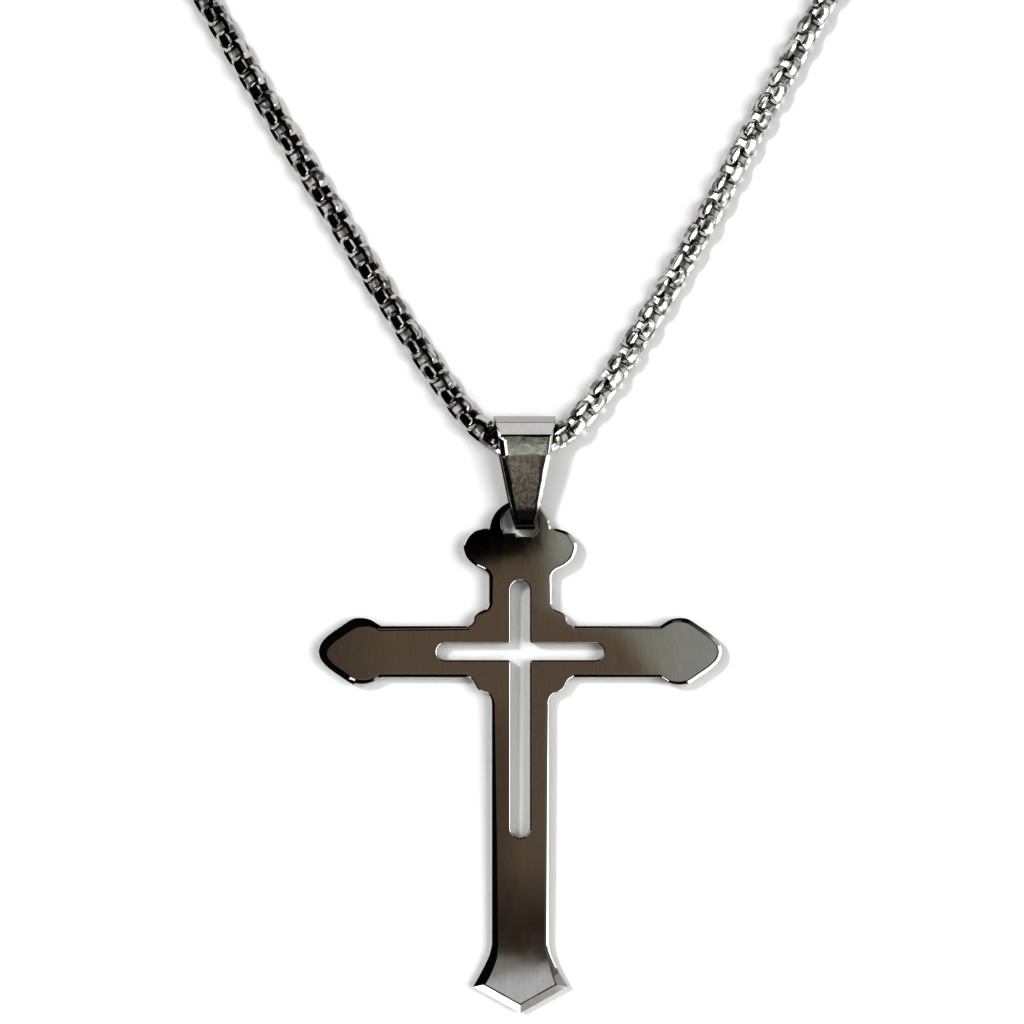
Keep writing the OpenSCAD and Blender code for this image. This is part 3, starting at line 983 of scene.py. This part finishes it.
class PENDANT_OT_stage(bpy.types.Operator):
    """Sets the camera above the cross, three lamps, the sky of the studio and the floor"""

    bl_idname = "pendant.add_stage"
    bl_label = "Stage"

    def execute(self, context):
        studio = settings("pendant_studio")
        scene = context.scene
        bpy.ops.object.select_all(action="DESELECT")
        bpy.ops.object.camera_add(location=(studio.axis_x, studio.axis_y, studio.distance))
        camera = context.object
        camera.rotation_euler = (0, 0, 0)
        camera.data.sensor_width = FILM
        camera.data.lens = FILM * (studio.distance - FRONT_HEIGHT) / studio.view_width
        camera.data.clip_start = 0.01
        scene.camera = camera
        flat, rise = math.cos(studio.lamp_height), math.sin(studio.lamp_height)
        add_lamp((-0.3, 0.3, 0.6), studio.lamp, 8, Vector((-0.8, 0.6, 0)) * flat + UP * rise)
        add_lamp((0.4, 0, 0.4), studio.fill, 34, Vector((0.9, 0.1, 1.45)))
        add_lamp((0, 0, 0.8), studio.top_light, 60,
                 Vector((-math.sin(studio.top_tilt), 0, math.cos(studio.top_tilt))))
        bpy.ops.mesh.primitive_plane_add(size=8)
        floor = context.object
        floor.name = "floor"
        floor.data.materials.append(floor_paint())
        studio_sky(scene)
        scene.view_settings.view_transform = "Standard"
        scene.view_settings.gamma = CONTRAST
        return {"FINISHED"}


def floor_paint():
    material = bpy.data.materials.new("pale_floor")
    material.use_nodes = True
    shader = material.node_tree.nodes["Principled BSDF"]
    shader.inputs["Base Color"].default_value = (0.86, 0.86, 0.86, 1)
    shader.inputs["Roughness"].default_value = 0.9
    shader.inputs["Specular IOR Level"].default_value = 0.1
    return material


def shown(*colour):
    """The sky's brightness that polished steel shows as about SHADE times the colour."""
    steel = settings("pendant_steel").colour
    return tuple((SHADE * part) ** CONTRAST / own for part, own in zip(colour, steel))


def studio_sky(scene):
    """The light round the table, as a mirror lying flat shows it. Overhead it is brown, black
    next to the axis, grey-green on the right and pale far in front. Further out it is black
    with a white wall low on the right, white panels in front on both sides of a dark middle, a
    small window behind and a white strip low behind on the left."""
    world = bpy.data.worlds.new("studio")
    scene.world = world
    world.use_nodes = True
    graph = Graph(world.node_tree)
    ray = graph.node("ShaderNodeTexCoord").outputs["Generated"]
    split = graph.node("ShaderNodeSeparateXYZ")
    graph.put(split.inputs[0], ray)
    # Overhead, places are x and y over z; further out, the direction hx, hy and the height z
    x, y, z = split.outputs
    up = graph.math("MAXIMUM", z, 0.02)
    qx = graph.math("DIVIDE", x, up)
    qy = graph.math("DIVIDE", y, up)
    flat = graph.math("SQRT", graph.math("ADD", graph.math("MULTIPLY", x, x),
                                         graph.math("MULTIPLY", y, y)))
    flat = graph.math("MAXIMUM", flat, 0.001)
    hx = graph.math("DIVIDE", x, flat)
    hy = graph.math("DIVIDE", y, flat)

    def both(*factors):
        value = factors[0]
        for factor in factors[1:]:
            value = graph.math("MULTIPLY", value, factor)
        return value

    # Overhead: brown, dark in front, half dark before that on the left, dim on the far left
    dark_brown = shown(0.03, 0.0185, 0.011)
    brown = graph.mix(graph.step(qy, -0.132, -0.16), shown(0.13, 0.09, 0.055), dark_brown)
    shade = both(graph.step(qx, 0.004, -0.003), graph.step(qy, -0.083, -0.1), 0.45)
    brown = graph.mix(shade, brown, dark_brown)
    brown = graph.mix(both(graph.step(qx, -0.035, -0.06), 0.75), brown, shown(0.06, 0.042, 0.03))
    # Right of it: olive, then green, past an edge that slants away in front
    olive = graph.mix(graph.step(qy, -0.055, -0.03), shown(0.27, 0.26, 0.2),
                      shown(0.38, 0.385, 0.33))
    green = graph.mix(graph.step(qx, 0.035, 0.06), olive, shown(0.345, 0.345, 0.31))
    edge = graph.math("MULTIPLY_ADD", graph.math(
        "MAXIMUM", graph.math("SUBTRACT", -0.0636, qy), 0.0), 0.64, 0.0105)
    edge = graph.math("MULTIPLY_ADD", graph.step(qy, -0.0565, -0.0642), 0.023, edge)
    beyond = graph.math("SUBTRACT", qx, edge)
    top = graph.mix(graph.step(beyond, -0.004, 0.006), brown, green)
    # In front of it: grey-green, then pale grey
    front = graph.math("MULTIPLY_ADD", qx, 0.158, qy)
    top = graph.mix(graph.step(front, -0.1662, -0.168), top, shown(0.27, 0.265, 0.215))
    front = graph.math("MULTIPLY_ADD", qx, -0.21, qy)
    top = graph.mix(graph.step(front, -0.1708, -0.1745), top, shown(0.67, 0.665, 0.675))
    # The black patch next to the axis
    near = both(graph.step(qx, 0.0108, 0.0078), graph.step(
        graph.math("MULTIPLY_ADD", qx, -0.27, qy), -0.043, -0.039))
    top = graph.mix(near, top, (0.0, 0.0, 0.0))

    # Further out: black on the left and behind, dim on the right
    across = graph.math("MULTIPLY_ADD", graph.step(hy, 0.3, 0.7), -0.25, hx)
    outer = graph.mix(graph.step(across, 0.15, 0.6), (0.01, 0.01, 0.01),
                      shown(0.13, 0.115, 0.09))
    # Grey at the right and behind
    grey = both(graph.step(hx, 0.62, 0.8), graph.step(hy, 0.05, 0.2), graph.step(z, 0.75, 0.68))
    outer = graph.mix(grey, outer, graph.mix(graph.step(hy, 0.25, 0.5), shown(0.4, 0.395, 0.385),
                                             shown(0.6, 0.59, 0.57)))
    # A small window behind, halfway up
    window = both(graph.step(graph.math("ABSOLUTE", hx), 0.2, 0.14), graph.step(hy, 0.0, 0.2),
                  graph.step(z, 0.6, 0.63), graph.step(z, 0.75, 0.72))
    outer = graph.mix(window, outer, shown(0.98, 0.97, 0.96))
    # The white wall low on the right
    wall = both(graph.step(hx, 0.5, 0.62), graph.step(hy, 0.36, 0.26), graph.step(z, 0.54, 0.44))
    outer = graph.mix(wall, outer, (3.0, 3.0, 3.0))
    # A dim stretch high in front on the right
    dim = both(graph.step(hx, 0.28, 0.4), graph.step(hy, -0.35, -0.5), graph.step(z, 0.6, 0.66))
    outer = graph.mix(dim, outer, shown(0.03, 0.026, 0.02))
    # The panels in front, right and left of the dark middle
    right = both(graph.step(hx, 0.34, 0.36), graph.step(hx, 0.78, 0.7), graph.step(hy, -0.4, -0.55),
                 graph.step(z, 0.6, 0.56))
    outer = graph.mix(right, outer, graph.mix(graph.step(hx, 0.415, 0.421), shown(0.5, 0.49, 0.48),
                                              (3.0, 3.0, 3.0)))
    left = both(graph.step(hx, -0.3, -0.36), graph.step(hx, -0.55, -0.5),
                graph.step(hy, -0.4, -0.55), graph.step(z, 0.76, 0.7), graph.step(z, 0.36, 0.42))
    outer = graph.mix(left, outer, (3.0, 3.0, 3.0))
    # A white strip low behind on the left
    strip = both(graph.step(hx, -0.5, -0.6), graph.step(hy, 0.1, 0.2), graph.step(z, 0.35, 0.3),
                 graph.step(z, 0.1, 0.16))
    outer = graph.mix(strip, outer, (2.0, 2.0, 2.0))
    # The dark middle in front, brown at its top and pale at its foot
    body = both(graph.step(graph.math("ABSOLUTE", hx), 0.34, 0.28), graph.step(hy, 0.0, -0.2),
                graph.step(z, 0.962, 0.953))
    low_dark = graph.mix(graph.step(z, 0.9, 0.82), shown(0.27, 0.225, 0.165),
                         (0.015, 0.015, 0.014))
    low_dark = graph.mix(graph.step(z, 0.3, 0.2), low_dark, shown(0.9, 0.8, 0.68))
    outer = graph.mix(body, outer, low_dark)
    # Overhead gives way to the rest between 10 and 15 degrees from straight up
    sky = graph.mix(graph.step(z, 0.984, 0.966), top, outer)
    # Seen straight by the camera, the backdrop is as pale as the floor
    seen = graph.node("ShaderNodeLightPath").outputs["Is Camera Ray"]
    sky = graph.mix(seen, sky, (1.0, 1.0, 1.0))
    # On matt surfaces the sky falls as an even, weak light
    matt = graph.node("ShaderNodeLightPath").outputs["Is Diffuse Ray"]
    sky = graph.mix(matt, sky, (0.14, 0.14, 0.14))
    background = graph.node("ShaderNodeBackground")
    graph.put(background.inputs["Color"], sky)
    out = graph.node("ShaderNodeOutputWorld")
    graph.put(out.inputs["Surface"], background.outputs[0])


class PENDANT_PT_panel(bpy.types.Panel):
    """Lists the pieces of the necklace"""

    bl_idname = "PENDANT_PT_panel"
    bl_label = "Cross pendant"
    bl_space_type = "VIEW_3D"
    bl_region_type = "UI"
    bl_category = "Pendant"

    def draw(self, context):
        for kind in OPERATORS:
            self.layout.operator(kind.bl_idname)


OPERATORS = (PENDANT_OT_stage, PENDANT_OT_cross, PENDANT_OT_bail, PENDANT_OT_chain,
             PENDANT_OT_clasp, PENDANT_OT_jump_rings)
GROUPS = {
    "pendant_cross": CrossSizes,
    "pendant_bail": BailSizes,
    "pendant_chain": ChainSizes,
    "pendant_steel": SteelLook,
    "pendant_studio": StudioSizes,
}


def register():
    for kind in (*GROUPS.values(), *OPERATORS, PENDANT_PT_panel):
        bpy.utils.register_class(kind)
    for name, kind in GROUPS.items():
        setattr(bpy.types.Scene, name, bpy.props.PointerProperty(type=kind))


def unregister():
    for name in GROUPS:
        delattr(bpy.types.Scene, name)
    for kind in (PENDANT_PT_panel, *OPERATORS, *GROUPS.values()):
        bpy.utils.unregister_class(kind)


def main():
    register()
    bpy.ops.pendant.add_stage()
    bpy.ops.pendant.add_cross()
    bpy.ops.pendant.add_bail()
    bpy.ops.pendant.add_chain()
    bpy.ops.pendant.add_clasp()
    bpy.ops.pendant.add_jump_rings()


if __name__ == "__main__":
    main()
